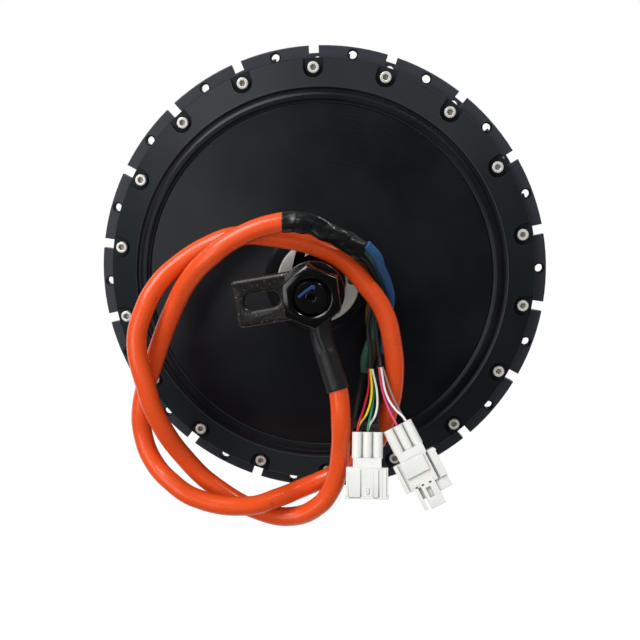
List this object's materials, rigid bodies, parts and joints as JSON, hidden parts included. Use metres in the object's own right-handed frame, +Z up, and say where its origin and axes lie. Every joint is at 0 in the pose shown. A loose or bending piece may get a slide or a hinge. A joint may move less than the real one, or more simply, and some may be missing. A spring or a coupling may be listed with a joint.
{
  "type": "hub motor",
  "caption": "Spoked-wheel hub motor: an outer rotor with two spoke flanges and ribbed covers turns on a hollow fixed axle, with brake mount, torque arm and cable.",
  "frame": {"origin": "middle of the motor, on the axle's centre line, halfway between the two spoke flanges", "axes": "+Y along the axle from the cable side to the far side, +Z up, +X to the right seen from the cable side"},
  "size_m": [0.34, 0.2705, 0.3468],
  "materials": {
    "black_coat": "satin black powder coat",
    "black_steel": "black zinc",
    "machined_steel": "turned",
    "stainless": "bright",
    "rotor_steel": "plain",
    "magnet": "nickel plated",
    "stator_steel": "stacked sheets",
    "cast_aluminium": "machined casting",
    "copper": "enamelled wire",
    "board": "green board",
    "lead_jacket": "silicone jacket",
    "black_rubber": "matt",
    "sleeve_black": "wrinkled tape",
    "orange_jacket": "semi-gloss cable jacket",
    "blue_jacket": "satin wire jacket",
    "green_jacket": "satin wire jacket",
    "yellow_jacket": "satin wire jacket",
    "shrink": "shrink tube",
    "signal_jacket": "satin wire jacket",
    "white_nylon": "moulded",
    "red_jacket": "thin wire",
    "lemon_jacket": "thin wire",
    "emerald_jacket": "thin wire",
    "white_jacket": "thin wire",
    "pink_jacket": "thin wire",
    "violet_jacket": "thin wire",
    "grey_jacket": "thin wire"
  },
  "bodies": {
    "stator": {"axle": "black_steel", "axle_key": "machined_steel", "stator_carrier": "cast_aluminium", "stator_core": "stator_steel", "windings": "copper", "hall_board": "board", "internal_leads": "lead_jacket", "cable_side_spacer": "machined_steel", "far_side_spacer": "machined_steel", "cable_side_bearing_inner": "machined_steel", "far_side_bearing_inner": "machined_steel", "cable_side_circlip": "machined_steel", "far_side_circlip": "machined_steel", "torque_arm": "black_steel", "cable_side_washer": "black_steel", "cable_side_nut": "black_steel", "far_side_washer": "black_steel", "far_side_nut": "black_steel", "cable_grommet": "black_rubber", "cable_sleeve": "sleeve_black", "main_cable": "orange_jacket", "cable_tape": "sleeve_black", "blue_phase_wire": "blue_jacket", "green_phase_wire": "green_jacket", "yellow_phase_wire": "yellow_jacket", "blue_wire_end": "shrink", "green_wire_end": "shrink", "yellow_wire_end": "shrink", "signal_cable_a": "signal_jacket", "signal_cable_b": "signal_jacket", "left_plug": "white_nylon", "right_plug": "white_nylon", "left_red_wire": "red_jacket", "left_yellow_wire": "lemon_jacket", "left_green_wire": "emerald_jacket", "left_white_wire": "white_jacket", "right_pink_wire": "pink_jacket", "right_violet_wire": "violet_jacket", "right_white_wire": "white_jacket", "right_grey_wire": "grey_jacket"},
    "rotor": {"hub_shell": "black_coat", "flux_ring": "rotor_steel", "magnets": "magnet", "cable_side_cover": "black_coat", "far_side_cover": "black_coat", "cable_side_screws": "stainless", "far_side_screws": "stainless", "cable_side_seal_ring": "black_rubber", "far_side_seal_ring": "black_rubber", "brake_mount_ring": "machined_steel", "cable_side_shaft_seal": "black_rubber", "far_side_shaft_seal": "black_rubber", "cable_side_bearing_outer": "machined_steel", "far_side_bearing_outer": "machined_steel"},
    "cable_side_cage": {"cable_side_balls": "stainless"},
    "far_side_cage": {"far_side_balls": "stainless"}
  },
  "joints": [
    {"name": "rotor_spin", "type": "hinge", "parent": "stator", "child": "rotor", "pos_m": [0, 0, 0], "axis": [0, 1, 0], "continuous": true},
    {"name": "cable_side_cage_spin", "type": "hinge", "parent": "stator", "child": "cable_side_cage", "pos_m": [0, -0.054, 0], "axis": [0, 1, 0], "continuous": true},
    {"name": "far_side_cage_spin", "type": "hinge", "parent": "stator", "child": "far_side_cage", "pos_m": [0, 0.054, 0], "axis": [0, 1, 0], "continuous": true}
  ],
  "couplings": [
    {"joint": "cable_side_cage_spin", "follows": "rotor_spin", "ratio": 0.6033},
    {"joint": "far_side_cage_spin", "follows": "rotor_spin", "ratio": 0.6033}
  ]
}
